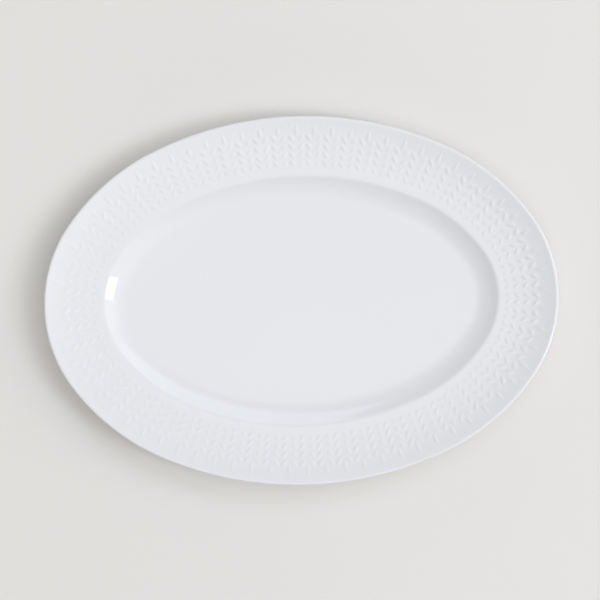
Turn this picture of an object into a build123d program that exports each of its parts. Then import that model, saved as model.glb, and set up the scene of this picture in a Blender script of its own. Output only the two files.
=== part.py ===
from build123d import *
import math
import os

# China serving platter: one fired porcelain body with a coat of glaze on its face, rim and
# back, and a second patch of glaze on its base inside the foot ring.
# Units are millimetres. +X runs along the platter, +Z up, and the origin is the middle of the
# platter on the surface that it stands on.

# Outline seen from above: an oval of three radii per quarter, close to an ellipse.
LENGTH = 360.0
WIDTH = 258.0
END_RADIUS = 96.8
SHOULDER_RADIUS = 155.5
END_ANGLE = 35.55  # half the sweep of an end arc, degrees

# Cross-section of the glazed platter. Every slope is in degrees from level.
HEIGHT = 23.0
RIM_WIDTH = 40.8  # outer edge to the crease where the rim breaks into the well
LIP_RADIUS = 1.3
RIM_OUTER_SLOPE = 20.0
RIM_INNER_SLOPE = 3.0
CREASE_RADIUS = 8.0
WALL_TOP_SLOPE = 27.0
WALL_FOOT_SLOPE = 15.0
BEND_RADIUS = 22.0  # where the well's wall turns into its floor
FLOOR_HEIGHT = 9.3  # table to the middle of the well
DISH_RADIUS = 900.0  # the outer part of the well's floor lifts a little
DISH_SLOPE = 1.5

# Underside
BACK_RUN = 36.0  # rim's back, from the lip to the haunch
BACK_INNER_SLOPE = 6.0
HAUNCH_RADIUS = 12.0
BOWL_TOP_SLOPE = 27.0
BOWL_RADIUS = 60.0
BOWL_FOOT_SLOPE = 15.0

# Foot ring
FOOT_FILLET = 1.5
FOOT_SLOPE = 80.0
FOOT_EDGE_RADIUS = 0.8
FOOT_FLAT = 2.6
BASE_HEIGHT = 4.6  # table to the recessed base inside the ring

# Glaze
GLAZE = 0.25
BARE_FOOT = 1.0  # height up to which the foot ring carries no glaze


def sine(degrees):
    return math.sin(math.radians(degrees))


def cosine(degrees):
    return math.cos(math.radians(degrees))


# Runs and radii that follow from the dimensions above
LIP_RUN = LIP_RADIUS * (1 + sine(RIM_OUTER_SLOPE))
CREASE_RUN = CREASE_RADIUS * (sine(WALL_TOP_SLOPE) - sine(RIM_INNER_SLOPE))
RIM_RUN = RIM_WIDTH - LIP_RUN - CREASE_RUN / 2
RIM_RADIUS = RIM_RUN / (sine(RIM_OUTER_SLOPE) - sine(RIM_INNER_SLOPE))
BACK_RADIUS = BACK_RUN / (sine(RIM_OUTER_SLOPE) - sine(BACK_INNER_SLOPE))

LIP_RISE = LIP_RADIUS * (1 - cosine(RIM_OUTER_SLOPE))
RIM_RISE = RIM_RADIUS * (cosine(RIM_INNER_SLOPE) - cosine(RIM_OUTER_SLOPE))
CREASE_RISE = CREASE_RADIUS * (cosine(RIM_INNER_SLOPE) - cosine(WALL_TOP_SLOPE))
BEND_RISE = BEND_RADIUS * (cosine(DISH_SLOPE) - cosine(WALL_FOOT_SLOPE))
DISH_RISE = DISH_RADIUS * (1 - cosine(DISH_SLOPE))
WELL_RISE = HEIGHT - FLOOR_HEIGHT - LIP_RISE - RIM_RISE - CREASE_RISE
WALL_RISE = WELL_RISE - BEND_RISE - DISH_RISE
WALL_RADIUS = WALL_RISE / (cosine(WALL_FOOT_SLOPE) - cosine(WALL_TOP_SLOPE))
WALL_RUN = WALL_RADIUS * (sine(WALL_TOP_SLOPE) - sine(WALL_FOOT_SLOPE))
BEND_RUN = BEND_RADIUS * (sine(WALL_FOOT_SLOPE) - sine(DISH_SLOPE))
DISH_RUN = DISH_RADIUS * sine(DISH_SLOPE)
CORE_INSET = LIP_RUN + RIM_RUN + CREASE_RUN + WALL_RUN + BEND_RUN + DISH_RUN  # edge to the flat core


def section(inset):
    """Closed cross-section from the flat core out to the lip and back along the underside.

    X is the distance outward from the platter's edge, so it is negative, and Y is height.
    inset shrinks the section all round, except that the foot still reaches the table.
    """
    edges = []

    def turn(radius, angle):
        # An arc that carries on from the last edge. The solid is on its right hand.
        start = edges[-1] @ 1 if edges else Vector(-CORE_INSET, FLOOR_HEIGHT - inset)
        tangent = edges[-1] % 1 if edges else Vector(1, 0)
        grown = radius + inset if angle > 0 else radius - inset
        edges.append(JernArc(start, tangent, grown, angle))

    def straight(length):
        start = edges[-1] @ 1
        edges.append(Line(start, start + (edges[-1] % 1) * length))

    # Face
    turn(DISH_RADIUS, DISH_SLOPE)
    turn(BEND_RADIUS, WALL_FOOT_SLOPE - DISH_SLOPE)
    turn(WALL_RADIUS, WALL_TOP_SLOPE - WALL_FOOT_SLOPE)
    turn(CREASE_RADIUS, RIM_INNER_SLOPE - WALL_TOP_SLOPE)
    turn(RIM_RADIUS, RIM_OUTER_SLOPE - RIM_INNER_SLOPE)
    turn(LIP_RADIUS, -180)
    # Back
    turn(BACK_RADIUS, BACK_INNER_SLOPE - RIM_OUTER_SLOPE)
    turn(HAUNCH_RADIUS, BOWL_TOP_SLOPE - BACK_INNER_SLOPE)
    turn(BOWL_RADIUS, BOWL_FOOT_SLOPE - BOWL_TOP_SLOPE)
    turn(FOOT_FILLET, FOOT_SLOPE - BOWL_FOOT_SLOPE)
    # Foot ring
    edge_rise = (FOOT_EDGE_RADIUS - inset) * (1 - cosine(FOOT_SLOPE))
    fillet_rise = (FOOT_FILLET + inset) * (1 - cosine(FOOT_SLOPE))
    straight(((edges[-1] @ 1).Y - edge_rise) / sine(FOOT_SLOPE))
    turn(FOOT_EDGE_RADIUS, -FOOT_SLOPE)
    straight(FOOT_FLAT)
    turn(FOOT_EDGE_RADIUS, -FOOT_SLOPE)
    straight((BASE_HEIGHT + inset - edge_rise - fillet_rise) / sine(FOOT_SLOPE))
    turn(FOOT_FILLET, FOOT_SLOPE)
    # Recessed base, then up the core's side
    start = edges[0] @ 0
    below = Vector(start.X, (edges[-1] @ 1).Y)
    edges.append(Line(edges[-1] @ 1, below))
    edges.append(Line(below, start))
    return make_face(edges)


def oval_arcs():
    """The outline's eight arcs in order, as (centre x, centre y, radius, start, sweep)."""
    end_x = LENGTH / 2 - END_RADIUS
    shoulder_x = end_x + (END_RADIUS - SHOULDER_RADIUS) * cosine(END_ANGLE)
    shoulder_y = (END_RADIUS - SHOULDER_RADIUS) * sine(END_ANGLE)
    # The side arc touches the shoulder arc and passes through the middle of the long side.
    drop = shoulder_y - WIDTH / 2
    side_radius = (SHOULDER_RADIUS**2 - shoulder_x**2 - drop**2) / (2 * (drop + SHOULDER_RADIUS))
    side_y = WIDTH / 2 - side_radius
    side_angle = math.degrees(math.atan2(shoulder_y - side_y, shoulder_x))
    shoulder_sweep = side_angle - END_ANGLE
    side_sweep = 180 - 2 * side_angle
    half = [
        (end_x, 0, END_RADIUS, -END_ANGLE, 2 * END_ANGLE),
        (shoulder_x, shoulder_y, SHOULDER_RADIUS, END_ANGLE, shoulder_sweep),
        (0, side_y, side_radius, side_angle, side_sweep),
        (-shoulder_x, shoulder_y, SHOULDER_RADIUS, 180 - side_angle, shoulder_sweep),
    ]
    return half + [(-x, -y, radius, start + 180, sweep) for x, y, radius, start, sweep in half]


def ring(profile):
    """The section carried round the whole oval."""
    pieces = []
    for x, y, radius, start, sweep in oval_arcs():
        upright = Plane.XZ * (Pos(radius, 0) * profile)
        piece = revolve(upright, Axis.Z, revolution_arc=sweep)
        pieces.append(Pos(x, y, 0) * Rot(0, 0, start) * piece)
    return pieces


def core(bottom, top):
    """The flat slab inside the ring, between two heights."""
    outline = []
    for x, y, radius, start, sweep in oval_arcs():
        outline.append(CenterArc((x, y), radius - CORE_INSET, start, sweep))
    return Pos(0, 0, bottom) * extrude(make_face(outline), top - bottom)


def joined(slab, pieces):
    return slab.fuse(*pieces).clean()


def main():
    glazed = section(0)
    body = section(GLAZE)
    coat = glazed - body
    foot_strip = Pos(-CORE_INSET / 2, BARE_FOOT / 2) * Rectangle(CORE_INSET, BARE_FOOT)
    coats = (coat - foot_strip).faces().sort_by(SortBy.AREA)

    parts = {
        "porcelain_body": joined(core(BASE_HEIGHT + GLAZE, FLOOR_HEIGHT - GLAZE), ring(body)),
        "face_glaze": joined(core(FLOOR_HEIGHT - GLAZE, FLOOR_HEIGHT), ring(coats[-1])),
        "base_glaze": joined(core(BASE_HEIGHT, BASE_HEIGHT + GLAZE), ring(coats[0])),
    }

    os.makedirs("parts", exist_ok=True)
    for name, solid in parts.items():
        box = solid.bounding_box()
        size = "%.2f x %.2f x %.2f" % tuple(box.size)
        print(name, len(solid.solids()), "solid", round(solid.volume), "mm3", size)
        export_step(solid, os.path.join("parts", name + ".step"))


main()
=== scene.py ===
import math

import bpy
import numpy as np
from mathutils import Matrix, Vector


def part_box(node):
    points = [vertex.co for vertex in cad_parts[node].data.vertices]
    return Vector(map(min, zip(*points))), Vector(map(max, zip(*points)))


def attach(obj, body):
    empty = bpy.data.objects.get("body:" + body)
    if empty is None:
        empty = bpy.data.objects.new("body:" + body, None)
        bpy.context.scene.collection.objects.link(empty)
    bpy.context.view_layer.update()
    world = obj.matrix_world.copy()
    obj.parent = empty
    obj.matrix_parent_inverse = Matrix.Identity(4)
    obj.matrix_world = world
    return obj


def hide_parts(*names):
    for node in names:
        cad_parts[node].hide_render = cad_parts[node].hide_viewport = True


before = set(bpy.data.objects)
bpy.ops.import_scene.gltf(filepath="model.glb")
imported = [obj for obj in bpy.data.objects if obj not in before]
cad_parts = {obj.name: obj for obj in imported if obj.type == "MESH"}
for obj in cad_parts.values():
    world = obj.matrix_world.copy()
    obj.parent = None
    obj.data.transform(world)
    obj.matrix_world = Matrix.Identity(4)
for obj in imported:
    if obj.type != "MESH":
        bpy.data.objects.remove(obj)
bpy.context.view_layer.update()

# A white porcelain platter. Its shape is worked out in millimetres in the frame of the CAD
# model and turned into metres as each mesh is made.
MM = 0.001

# Outline seen from above, the same three-radius oval as the CAD body
GLAZE_LOW, GLAZE_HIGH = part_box("face_glaze")
LENGTH = round((GLAZE_HIGH[0] - GLAZE_LOW[0]) / MM)
WIDTH = round((GLAZE_HIGH[1] - GLAZE_LOW[1]) / MM)
HEIGHT = round(GLAZE_HIGH[2] / MM)
END_RADIUS = 96.8
SHOULDER_RADIUS = 155.5
END_ANGLE = 35.55

# Cross-section, the same as the CAD body's. Slopes are in degrees from level.
RIM_WIDTH = 40.8  # from the edge to the middle of the crease
LIP_RADIUS = 1.3
RIM_OUTER_SLOPE = 20.0
RIM_INNER_SLOPE = 3.0
CREASE_RADIUS = 8.0
WALL_TOP_SLOPE = 27.0
WALL_FOOT_SLOPE = 15.0
BEND_RADIUS = 22.0
FLOOR_HEIGHT = 9.3
DISH_RADIUS = 900.0
DISH_SLOPE = 1.5
BACK_RUN = 36.0
BACK_INNER_SLOPE = 6.0
HAUNCH_RADIUS = 12.0
BOWL_TOP_SLOPE = 27.0
BOWL_RADIUS = 60.0
BOWL_FOOT_SLOPE = 15.0
FOOT_FILLET = 1.5
FOOT_SLOPE = 80.0
FOOT_EDGE_RADIUS = 0.8
FOOT_FLAT = 2.6
BASE_HEIGHT = 4.6
GLAZE = 0.25  # thickness of the coat
BARE_FOOT = 1.0  # how far above the table the coat stops on the foot ring

# Relief on the rim: sprigs that point outward, each with four pairs of leaves and a last leaf
# at its tip, and shallow flutes that run from between the tips to the lip. An inset is a
# distance inward from the edge.
SPRIGS = 68
SPRIG_LINE = 15.4  # inset of the line along which the sprigs are spaced
SPRIG_START = 0.05  # in sprigs, from the +X axis to the first stem
SPRIG_DRIFT = 0.19  # in sprigs, how far they close up along one side and open along the other
DRIFT_TURN = 0.2  # in radians, how far round the closest spacing is from the middle of its side
END_DRIFT = 0.12  # in sprigs, how far they open up round the two ends
LEAF_ROWS = (34.2, 28.2, 21.8, 15.2)  # insets of the middles of the leaf pairs, at the two ends
SIDE_SHRINK = 0.09  # how much shorter the sprigs are along the two sides
LEAF_OFFSET = 0.28  # middle of a side leaf from the stem line, in sprig widths
LEAF_ANGLE = 41.0  # between a side leaf and the stem line
LEAF_LENGTH = 6.2
LEAF_WIDTH = 3.4
TIP_LEAF_INSET = 9.9
TIP_LEAF_LENGTH = 8.0
TIP_LEAF_WIDTH = 3.1
LEAF_HEIGHT = 0.34
LEAF_TAPER = 0.18  # how much slimmer a leaf is towards its tip
LEAF_DOME = 1.2  # 1 makes a leaf end in a sharp edge, and more lets it flow out of the rim
FLUTES_PER_SPRIG = 8
FLUTE_DEPTH = 0.09
FLUTE_START = 10.4  # inset where the flutes begin
FLUTE_FADE = 1.6  # over what distance they reach their full depth
LEAF_CLEARING = 3.0  # how quickly the flutes die away beside a leaf


def sine(degrees):
    return math.sin(math.radians(degrees))


def cosine(degrees):
    return math.cos(math.radians(degrees))


LIP_RUN = LIP_RADIUS * (1 + sine(RIM_OUTER_SLOPE))
CREASE_RUN = CREASE_RADIUS * (sine(WALL_TOP_SLOPE) - sine(RIM_INNER_SLOPE))
RIM_RUN = RIM_WIDTH - LIP_RUN - CREASE_RUN / 2
RIM_RADIUS = RIM_RUN / (sine(RIM_OUTER_SLOPE) - sine(RIM_INNER_SLOPE))
BACK_RADIUS = BACK_RUN / (sine(RIM_OUTER_SLOPE) - sine(BACK_INNER_SLOPE))
LIP_RISE = LIP_RADIUS * (1 - cosine(RIM_OUTER_SLOPE))
RIM_RISE = RIM_RADIUS * (cosine(RIM_INNER_SLOPE) - cosine(RIM_OUTER_SLOPE))
CREASE_RISE = CREASE_RADIUS * (cosine(RIM_INNER_SLOPE) - cosine(WALL_TOP_SLOPE))
BEND_RISE = BEND_RADIUS * (cosine(DISH_SLOPE) - cosine(WALL_FOOT_SLOPE))
DISH_RISE = DISH_RADIUS * (1 - cosine(DISH_SLOPE))
WELL_RISE = HEIGHT - FLOOR_HEIGHT - LIP_RISE - RIM_RISE - CREASE_RISE
WALL_RISE = WELL_RISE - BEND_RISE - DISH_RISE
WALL_RADIUS = WALL_RISE / (cosine(WALL_FOOT_SLOPE) - cosine(WALL_TOP_SLOPE))
WALL_RUN = WALL_RADIUS * (sine(WALL_TOP_SLOPE) - sine(WALL_FOOT_SLOPE))
BEND_RUN = BEND_RADIUS * (sine(WALL_FOOT_SLOPE) - sine(DISH_SLOPE))
DISH_RUN = DISH_RADIUS * sine(DISH_SLOPE)
CORE_INSET = LIP_RUN + RIM_RUN + CREASE_RUN + WALL_RUN + BEND_RUN + DISH_RUN
RIM_START = LIP_RUN + RIM_RUN  # inset where the rim's long curve begins
RIM_CENTRE_X = -RIM_START - RIM_RADIUS * sine(RIM_INNER_SLOPE)
RIM_CENTRE_Z = HEIGHT - LIP_RISE + RIM_RADIUS * cosine(RIM_OUTER_SLOPE)


def oval_arcs():
    """The outline's eight arcs in order, as (centre x, centre y, radius, start, sweep)."""
    end_x = LENGTH / 2 - END_RADIUS
    shoulder_x = end_x + (END_RADIUS - SHOULDER_RADIUS) * cosine(END_ANGLE)
    shoulder_y = (END_RADIUS - SHOULDER_RADIUS) * sine(END_ANGLE)
    drop = shoulder_y - WIDTH / 2
    side_radius = (SHOULDER_RADIUS**2 - shoulder_x**2 - drop**2) / (2 * (drop + SHOULDER_RADIUS))
    side_y = WIDTH / 2 - side_radius
    side_angle = math.degrees(math.atan2(shoulder_y - side_y, shoulder_x))
    shoulder_sweep = side_angle - END_ANGLE
    half = [
        (end_x, 0, END_RADIUS, -END_ANGLE, 2 * END_ANGLE),
        (shoulder_x, shoulder_y, SHOULDER_RADIUS, END_ANGLE, shoulder_sweep),
        (0, side_y, side_radius, side_angle, 180 - 2 * side_angle),
        (-shoulder_x, shoulder_y, SHOULDER_RADIUS, 180 - side_angle, shoulder_sweep),
    ]
    return half + [(-x, -y, radius, start + 180, sweep) for x, y, radius, start, sweep in half]


class Columns:
    """Stations round the sprig line, the same number to every sprig, the first near the +X axis."""

    def __init__(self, count):
        arcs = oval_arcs()
        lengths = [(arc[2] - SPRIG_LINE) * math.radians(arc[4]) for arc in arcs]
        ends = np.cumsum(lengths)
        # Distance is measured along the sprig line from the middle of the first arc.
        share = np.arange(count) / count
        turn = 2 * math.pi * share
        drift = SPRIG_START + SPRIG_DRIFT * np.cos(turn + DRIFT_TURN) + END_DRIFT * np.sin(2 * turn)
        along = (share + drift / SPRIGS) * ends[-1] + lengths[0] / 2
        along = np.mod(along, ends[-1])
        which = np.minimum(np.searchsorted(ends, along, side="right"), len(arcs) - 1)
        table = np.array(arcs)[which]
        past = along - np.concatenate([[0.0], ends])[which]
        angle = np.radians(table[:, 3]) + past / (table[:, 2] - SPRIG_LINE)
        self.count = count
        self.centre = table[:, 0:2]
        self.radius = table[:, 2]
        self.out = np.stack([np.cos(angle), np.sin(angle)], axis=1)
        self.pitch = ends[-1] / SPRIGS
        # Place within the sprig, from -0.5 to 0.5, with the stem line at 0
        place = np.arange(count) * SPRIGS / count
        self.across = place - np.round(place)

    def width(self, inset):
        """Width of a sprig at an inset, which narrows towards the well."""
        return self.pitch * (self.radius - inset) / (self.radius - SPRIG_LINE)

    def points(self, x, z):
        """Points at distance x outward from the edge (negative inside) and height z."""
        x = np.broadcast_to(x, (self.count,))
        z = np.broadcast_to(z, (self.count,))
        flat = self.centre + self.out * (self.radius + x)[:, None]
        return np.column_stack([flat, z])


def smooth_step(value):
    value = np.clip(value, 0.0, 1.0)
    return value * value * (3.0 - 2.0 * value)


def pod(along, across, length, width):
    """Height from 0 to 1 of a softly domed leaf whose tip points along."""
    t = along / (length / 2)
    q = across / (width / 2 * (1 - LEAF_TAPER * t))
    return np.maximum(0.0, 1.0 - t * t - q * q) ** LEAF_DOME


def relief(columns, inset):
    """Height in millimetres of the sprigs and flutes above the plain rim."""
    width = columns.width(inset)
    scale = width / columns.pitch
    side = np.abs(columns.across) * width
    reach = 1 - SIDE_SHRINK * columns.out[:, 1] ** 2
    leaves = np.zeros_like(side)
    for row in LEAF_ROWS:
        right = side - LEAF_OFFSET * width
        out = TIP_LEAF_INSET + (row - TIP_LEAF_INSET) * reach - inset
        along = right * sine(LEAF_ANGLE) + out * cosine(LEAF_ANGLE)
        over = right * cosine(LEAF_ANGLE) - out * sine(LEAF_ANGLE)
        leaves = np.maximum(leaves, pod(along, over, LEAF_LENGTH * scale, LEAF_WIDTH * scale))
    tip = pod(TIP_LEAF_INSET - inset, side, TIP_LEAF_LENGTH, TIP_LEAF_WIDTH)
    leaves = np.maximum(leaves, tip)
    crest = 0.5 + 0.5 * np.cos(2 * math.pi * FLUTES_PER_SPRIG * columns.across)
    strip = smooth_step((FLUTE_START - inset) / FLUTE_FADE)
    flutes = crest * strip * (1 - smooth_step(leaves * LEAF_CLEARING))
    return LEAF_HEIGHT * leaves + FLUTE_DEPTH * flutes


def rim_row(columns, inset):
    """Points of the rim's face, with its relief, at an inset that may differ by column."""
    inset = np.broadcast_to(inset, (columns.count,))
    x = -inset
    z = RIM_CENTRE_Z - np.sqrt(RIM_RADIUS**2 - (x - RIM_CENTRE_X) ** 2)
    lift = relief(columns, inset) / RIM_RADIUS
    return columns.points(x + (RIM_CENTRE_X - x) * lift, z + (RIM_CENTRE_Z - z) * lift)


class Pen:
    """Walks the cross-section and notes (x, z) at each station."""

    def __init__(self, x, z, heading, inset):
        self.x, self.z, self.heading, self.inset = x, z, heading, inset
        self.track = [(x, z)]

    def turn(self, radius, angle, steps):
        radius = radius + self.inset if angle > 0 else radius - self.inset
        side = math.copysign(1, angle)
        centre_x = self.x - side * radius * sine(self.heading)
        centre_z = self.z + side * radius * cosine(self.heading)
        for step in range(1, steps + 1):
            heading = self.heading + angle * step / steps
            self.x = centre_x + side * radius * sine(heading)
            self.z = centre_z - side * radius * cosine(heading)
            self.track.append((self.x, self.z))
        self.heading += angle

    def straight(self, length, steps=1):
        start_x, start_z = self.x, self.z
        for step in range(1, steps + 1):
            self.x = start_x + length * step / steps * cosine(self.heading)
            self.z = start_z + length * step / steps * sine(self.heading)
            self.track.append((self.x, self.z))

    def lift(self):
        """Starts a new track at the present place and returns the one so far."""
        done = self.track
        self.track = [(self.x, self.z)]
        return done


def section(inset, detail):
    """The cross-section's stretches by name, as lists of (x, z). detail scales their stations."""

    def steps(number):
        return max(1, round(number * detail))

    pen = Pen(-CORE_INSET, FLOOR_HEIGHT - inset, 0.0, inset)
    tracks = {}
    pen.turn(DISH_RADIUS, DISH_SLOPE, steps(4))
    pen.turn(BEND_RADIUS, WALL_FOOT_SLOPE - DISH_SLOPE, steps(7))
    pen.turn(WALL_RADIUS, WALL_TOP_SLOPE - WALL_FOOT_SLOPE, steps(8))
    tracks["well"] = pen.lift()
    pen.turn(CREASE_RADIUS, RIM_INNER_SLOPE - WALL_TOP_SLOPE, steps(7))
    tracks["crease"] = pen.lift()
    pen.turn(RIM_RADIUS, RIM_OUTER_SLOPE - RIM_INNER_SLOPE, steps(8))
    tracks["rim"] = pen.lift()
    pen.turn(LIP_RADIUS, -180, steps(10))
    tracks["lip"] = pen.lift()
    pen.turn(BACK_RADIUS, BACK_INNER_SLOPE - RIM_OUTER_SLOPE, steps(7))
    pen.turn(HAUNCH_RADIUS, BOWL_TOP_SLOPE - BACK_INNER_SLOPE, steps(6))
    pen.turn(BOWL_RADIUS, BOWL_FOOT_SLOPE - BOWL_TOP_SLOPE, steps(7))
    pen.turn(FOOT_FILLET, FOOT_SLOPE - BOWL_FOOT_SLOPE, steps(5))
    edge_rise = (FOOT_EDGE_RADIUS - inset) * (1 - cosine(FOOT_SLOPE))
    pen.straight((pen.z - BARE_FOOT) / sine(FOOT_SLOPE))
    tracks["back"] = pen.lift()
    # Round the foot, which is bare, so this stretch isn't kept
    pen.straight((BARE_FOOT - edge_rise) / sine(FOOT_SLOPE))
    pen.turn(FOOT_EDGE_RADIUS, -FOOT_SLOPE, 1)
    pen.straight(FOOT_FLAT)
    pen.turn(FOOT_EDGE_RADIUS, -FOOT_SLOPE, 1)
    pen.straight((BARE_FOOT - edge_rise) / sine(FOOT_SLOPE))
    pen.lift()
    fillet_rise = (FOOT_FILLET + inset) * (1 - cosine(FOOT_SLOPE))
    pen.straight((BASE_HEIGHT + inset - BARE_FOOT - fillet_rise) / sine(FOOT_SLOPE))
    pen.turn(FOOT_FILLET, FOOT_SLOPE, steps(6))
    pen.straight(pen.x + CORE_INSET, steps(4))
    tracks["base"] = pen.lift()
    return tracks


class Skin:
    """A closed mesh, built row by row from one centre point to another.

    A row has as many points as its neighbour, or half or twice as many.
    """

    def __init__(self):
        self.points = []
        self.faces = []
        self.total = 0
        self.last = None

    def add_points(self, points):
        points = np.atleast_2d(points)
        start = self.total
        self.points.append(points)
        self.total += len(points)
        return np.arange(start, start + len(points))

    def quads(self, a, b):
        self.faces.extend(np.column_stack([a, np.roll(a, -1), np.roll(b, -1), b]).tolist())

    def triangles(self, a, b, c):
        self.faces.extend(np.column_stack([a, b, c]).tolist())

    def join(self, a, b):
        """Faces between two closed rows, walking outward over the top."""
        if len(a) == 1:
            self.triangles(np.full(len(b), a[0]), b, np.roll(b, -1))
        elif len(b) == 1:
            self.triangles(a, np.full(len(a), b[0]), np.roll(a, -1))
        elif len(a) == len(b):
            self.quads(b, a)
        elif len(b) == 2 * len(a):
            middle, ahead = b[1::2], np.roll(b, -2)[::2]
            self.triangles(a, b[::2], middle)
            self.triangles(a, middle, np.roll(a, -1))
            self.triangles(np.roll(a, -1), middle, ahead)
        elif len(a) == 2 * len(b):
            middle, ahead = a[1::2], np.roll(a, -2)[::2]
            self.triangles(b, middle, a[::2])
            self.triangles(b, np.roll(b, -1), middle)
            self.triangles(np.roll(b, -1), ahead, middle)
        else:
            raise ValueError("a row must have as many points as its neighbour, or half or twice")

    def row(self, points):
        new = self.add_points(points)
        if self.last is not None:
            self.join(self.last, new)
        self.last = new

    def make(self, name):
        mesh = bpy.data.meshes.new(name)
        points = np.concatenate(self.points) * MM
        mesh.from_pydata(points.tolist(), [], self.faces)
        mesh.validate()
        mesh.shade_smooth()
        piece = bpy.data.objects.new(name, mesh)
        bpy.context.scene.collection.objects.link(piece)
        return piece


# Points per row, in each stretch
PLAIN = Columns(SPRIGS * 5)
MIDDLE = Columns(SPRIGS * 10)
LEAFY = Columns(SPRIGS * 20)
FLUTED = Columns(SPRIGS * 40)

CORE_RINGS = ((0.25, 4), (0.5, 4), (0.7, 2), (0.85, 2))  # size, and how many times fewer points
BEFORE_LEAVES = 38.5  # inset of the one plain row between the crease and the leaves
LEAF_BAND = (37.8, 10.9)  # insets between which the rows carry the side leaves
LEAF_ROW_STEP = 0.78
LEAN = 0.8  # 0 keeps those rows parallel to the edge, and 1 turns them along the leaves
LEAN_FADE = 5.0  # how far into the band they reach their full lean
FLUTE_BAND = (10.3, 1.6)  # insets between which the rows carry the last leaves and the flutes
FLUTE_ROW_STEP = 1.0
INNER_DETAIL = 0.6  # stations on the coat's hidden side, as a share of those on its face


def core_rows(skin, height, outward):
    """The flat middle of the well or base, from or to its centre point."""
    outline = PLAIN.points(-CORE_INSET, height)
    rings = [np.array([[0.0, 0.0, height]])]
    rings += [outline[::fewer] * (size, size, 1.0) for size, fewer in CORE_RINGS]
    for ring in rings if outward else reversed(rings):
        skin.row(ring)


def leaf_rows(skin):
    """Rows over the side leaves. They lean along the leaves, and level out at the band's edges."""
    start, stop = LEAF_BAND
    count = round((start - stop) / LEAF_ROW_STEP)
    lean = LEAN * cosine(LEAF_ANGLE) / sine(LEAF_ANGLE)
    half_way = 0.25  # half of the way from the stem line to the sprig's edge, in sprig widths
    for index in range(count + 1):
        inset = start + (stop - start) * index / count
        fade = smooth_step((start - inset) / LEAN_FADE) * smooth_step((inset - stop) / LEAN_FADE)
        side = (np.abs(LEAFY.across) - half_way) * LEAFY.width(inset)
        skin.row(rim_row(LEAFY, inset - side * lean * fade))


def flute_rows(skin):
    """Rows over the last leaves and the flutes, parallel to the edge."""
    start, stop = FLUTE_BAND
    count = round((start - stop) / FLUTE_ROW_STEP)
    for index in range(count + 1):
        skin.row(rim_row(FLUTED, start + (stop - start) * index / count))


def make_face_glaze():
    """The coat over the well, rim, lip and back: its outside with the relief, then its inside."""
    skin = Skin()
    outer = section(0.0, 1.0)
    core_rows(skin, FLOOR_HEIGHT, outward=True)
    for x, z in outer["well"]:
        skin.row(PLAIN.points(x, z))
    for x, z in outer["crease"][1:]:
        skin.row(MIDDLE.points(x, z))
    skin.row(rim_row(MIDDLE, BEFORE_LEAVES))
    leaf_rows(skin)
    flute_rows(skin)
    # The last flute row stands in for the lip's first two stations.
    for x, z in outer["lip"][2:7]:
        skin.row(LEAFY.points(x, z))
    for x, z in outer["lip"][7:]:
        skin.row(MIDDLE.points(x, z))
    for x, z in outer["back"][1:]:
        skin.row(PLAIN.points(x, z))
    inner = section(GLAZE, INNER_DETAIL)
    hidden = inner["back"][::-1] + inner["lip"][::-1][1:] + inner["rim"][::-1][1:]
    hidden += inner["crease"][::-1][1:] + inner["well"][::-1][1:]
    for x, z in hidden:
        skin.row(PLAIN.points(x, z))
    core_rows(skin, FLOOR_HEIGHT - GLAZE, outward=False)
    piece = skin.make("glossy_glaze")
    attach(piece, "root")
    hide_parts("face_glaze")
    return piece


def make_base_glaze():
    """The patch of glaze inside the foot ring, seen from below."""
    skin = Skin()
    inner = section(GLAZE, 1.0)["base"]
    outer = section(0.0, 1.0)["base"]
    core_rows(skin, BASE_HEIGHT + GLAZE, outward=True)
    for x, z in inner[::-1]:
        skin.row(PLAIN.points(x, z))
    for x, z in outer:
        skin.row(PLAIN.points(x, z))
    core_rows(skin, BASE_HEIGHT, outward=False)
    piece = skin.make("base_patch_glaze")
    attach(piece, "root")
    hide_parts("base_glaze")
    return piece


class Material:
    """A node material with short calls to add and wire its nodes."""

    def __init__(self, name):
        self.material = bpy.data.materials.new(name)
        self.material.use_nodes = True
        self.nodes = self.material.node_tree.nodes
        self.shader = self.nodes["Principled BSDF"]

    def noise(self, scale, detail):
        place = self.nodes.new("ShaderNodeTexCoord")
        node = self.nodes.new("ShaderNodeTexNoise")
        node.inputs["Scale"].default_value = scale
        node.inputs["Detail"].default_value = detail
        self.wire(place.outputs["Object"], node.inputs["Vector"])
        return node.outputs["Fac"]

    def ramp(self, source, *stops):
        """Turns a value into a colour between two stops, each a position and its colour."""
        node = self.nodes.new("ShaderNodeValToRGB")
        for element, (position, color) in zip(node.color_ramp.elements, stops):
            element.position = position
            element.color = (*color, 1.0)
        self.wire(source, node.inputs["Fac"])
        return node.outputs["Color"]

    def bump(self, source, distance, below=None):
        node = self.nodes.new("ShaderNodeBump")
        node.inputs["Distance"].default_value = distance
        self.wire(source, node.inputs["Height"])
        if below is not None:
            self.wire(below, node.inputs["Normal"])
        return node.outputs["Normal"]

    def wire(self, source, target):
        self.material.node_tree.links.new(source, target)

    def drive(self, socket, source):
        """Wires a source into one of the shader's own sockets."""
        self.wire(source, self.shader.inputs[socket])

    def set(self, **values):
        for socket, value in values.items():
            self.shader.inputs[socket].default_value = value


def grey(value):
    return (value, value, value)


def glaze_material():
    """Clear glass over a white body: glossy, very slightly uneven, faintly cool."""
    made = Material("white_glaze")
    cloud = made.noise(scale=9.0, detail=2.0)
    white = made.ramp(cloud, (0.3, (0.812, 0.816, 0.845)), (0.7, (0.822, 0.825, 0.850)))
    made.drive("Base Color", white)
    sheen = made.noise(scale=55.0, detail=4.0)
    made.drive("Roughness", made.ramp(sheen, (0.35, grey(0.035)), (0.7, grey(0.06))))
    slow = made.bump(made.noise(scale=26.0, detail=1.0), 0.06 * MM)
    made.drive("Normal", made.bump(made.noise(scale=420.0, detail=2.0), 0.004 * MM, below=slow))
    made.set(IOR=1.5)
    return made.material


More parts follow.
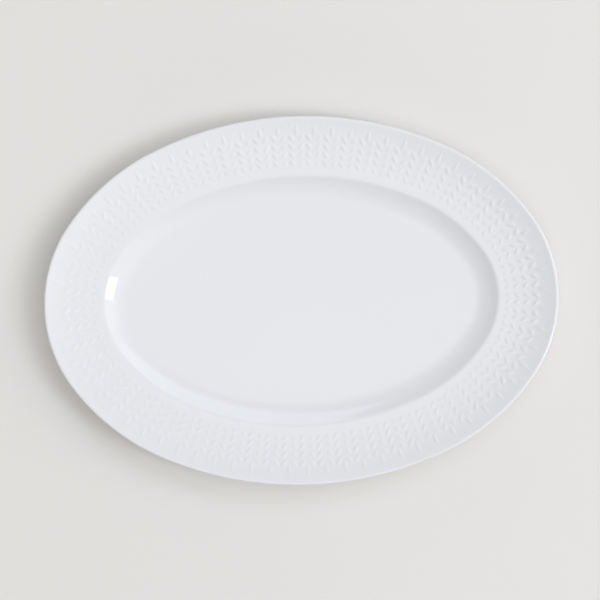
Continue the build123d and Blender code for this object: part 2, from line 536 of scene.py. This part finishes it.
def biscuit_material():
    """The foot ring's bare porcelain: matt, a little warmer and finely grained."""
    made = Material("bare_porcelain")
    mottle = made.noise(scale=140.0, detail=5.0)
    bare = made.ramp(mottle, (0.3, (0.66, 0.64, 0.60)), (0.7, (0.74, 0.72, 0.69)))
    made.drive("Base Color", bare)
    made.drive("Normal", made.bump(made.noise(scale=2600.0, detail=4.0), 0.04 * MM))
    made.set(Roughness=0.82, IOR=1.45)
    return made.material


def table_material():
    """A plain painted surface, warm white, with a fine dry texture."""
    made = Material("pale_table")
    cloud = made.noise(scale=3.0, detail=2.0)
    paint = made.ramp(cloud, (0.3, (0.812, 0.793, 0.768)), (0.7, (0.824, 0.806, 0.782)))
    made.drive("Base Color", paint)
    made.drive("Normal", made.bump(made.noise(scale=900.0, detail=3.0), 0.03 * MM))
    made.set(Roughness=0.75, IOR=1.4)
    return made.material


TABLE_REACH = 3.0  # metres from the middle of the table to its edges


def make_table():
    mesh = bpy.data.meshes.new("table")
    signs = ((-1, -1), (1, -1), (1, 1), (-1, 1))
    corners = [(TABLE_REACH * x, TABLE_REACH * y, 0) for x, y in signs]
    mesh.from_pydata(corners, [], [(0, 1, 2, 3)])
    table = bpy.data.objects.new("table", mesh)
    bpy.context.scene.collection.objects.link(table)
    table.data.materials.append(table_material())


def direction(azimuth, elevation):
    """Unit vector from the platter towards a light. Azimuth turns from +X towards +Y."""
    level = cosine(elevation)
    return Vector((level * cosine(azimuth), level * sine(azimuth), sine(elevation)))


LIGHT_DISTANCE = 3.0
LIGHT_COLOR = (0.9, 1.0, 1.1)


def area_light(name, azimuth, elevation, width, height, power):
    """A rectangle of light that faces the platter. Its height is measured up its own slope."""
    data = bpy.data.lights.new(name, "AREA")
    data.shape = "RECTANGLE"
    data.size = width
    data.size_y = height
    data.energy = power
    data.color = LIGHT_COLOR
    light = bpy.data.objects.new(name, data)
    bpy.context.scene.collection.objects.link(light)
    away = direction(azimuth, elevation)
    light.location = away * LIGHT_DISTANCE
    light.rotation_euler = away.to_track_quat("Z", "Y").to_euler()


# Soft glows of the studio, as (azimuth, elevation, sharpness, brightness)
SKY = (
    (0.0, 50.0, 23.0, 1.5),
    (18.0, 30.0, 20.0, 2.7),
    (160.0, 50.0, 16.0, 0.25),
    (277.0, 60.0, 23.0, 0.95),
    (318.0, 54.0, 40.0, 1.5),
    (200.0, 82.0, 12.0, 1.55),
    (90.0, 8.0, 14.0, 1.4),
    (165.0, 8.0, 12.0, 1.0),
    (270.0, 8.0, 14.0, 1.7),
)
SKY_TINT = (1.02, 1.0, 0.98)


def light_the_scene():
    """The window, the key light, and a world whose brightness is the sum of the sky's glows."""
    world = bpy.data.worlds.new("studio")
    bpy.context.scene.world = world
    world.use_nodes = True
    nodes = world.node_tree.nodes
    links = world.node_tree.links
    background = nodes["Background"]
    background.inputs["Color"].default_value = (*SKY_TINT, 1.0)
    place = nodes.new("ShaderNodeTexCoord")

    def math_node(operation, *values):
        """A node for one operation on sockets and plain numbers."""
        node = nodes.new("ShaderNodeMath")
        node.operation = operation
        for socket, value in zip(node.inputs, values):
            if isinstance(value, float):
                socket.default_value = value
            else:
                links.new(value, socket)
        return node.outputs[0]

    total = None
    for azimuth, elevation, sharpness, brightness in SKY:
        dot = nodes.new("ShaderNodeVectorMath")
        dot.operation = "DOT_PRODUCT"
        dot.inputs[1].default_value = direction(azimuth, elevation)
        links.new(place.outputs["Generated"], dot.inputs[0])
        fall = math_node("MULTIPLY", math_node("SUBTRACT", dot.outputs["Value"], 1.0), sharpness)
        glow = math_node("MULTIPLY", math_node("EXPONENT", fall), brightness)
        total = glow if total is None else math_node("ADD", total, glow)
    links.new(total, background.inputs["Strength"])
    area_light("window", azimuth=-16.5, elevation=45.5, width=0.66, height=1.16, power=18.0)
    area_light("key", azimuth=68.0, elevation=51.0, width=2.2, height=1.0, power=11.0)


# The camera looks straight down. Distances are in metres, and the point it looks at is
# measured from the middle of the platter.
CAMERA_HEIGHT = 1.0  # above the rim
VIEW_WIDTH = 0.4190  # width of the picture at the height of the rim
SENSOR = 36.0  # in millimetres
ROLL = -1.7  # in degrees
AIM_X = -0.0009
AIM_Y = 0.0004


def place_camera():
    data = bpy.data.cameras.new("camera")
    camera = bpy.data.objects.new("camera", data)
    bpy.context.scene.collection.objects.link(camera)
    rim_height = HEIGHT * MM
    data.sensor_width = SENSOR
    data.lens = SENSOR * CAMERA_HEIGHT / VIEW_WIDTH
    camera.location = (AIM_X, AIM_Y, rim_height + CAMERA_HEIGHT)
    camera.rotation_euler = (0.0, 0.0, math.radians(ROLL))
    bpy.context.scene.camera = camera


def use_material(piece, material):
    piece.data.materials.clear()
    piece.data.materials.append(material)


def main():
    place_camera()
    glaze = glaze_material()
    use_material(make_face_glaze(), glaze)
    use_material(make_base_glaze(), glaze)
    biscuit = biscuit_material()
    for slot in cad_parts["porcelain_body"].material_slots:
        slot.material = biscuit
    make_table()
    light_the_scene()
    bpy.context.scene.view_settings.view_transform = "Standard"


main()
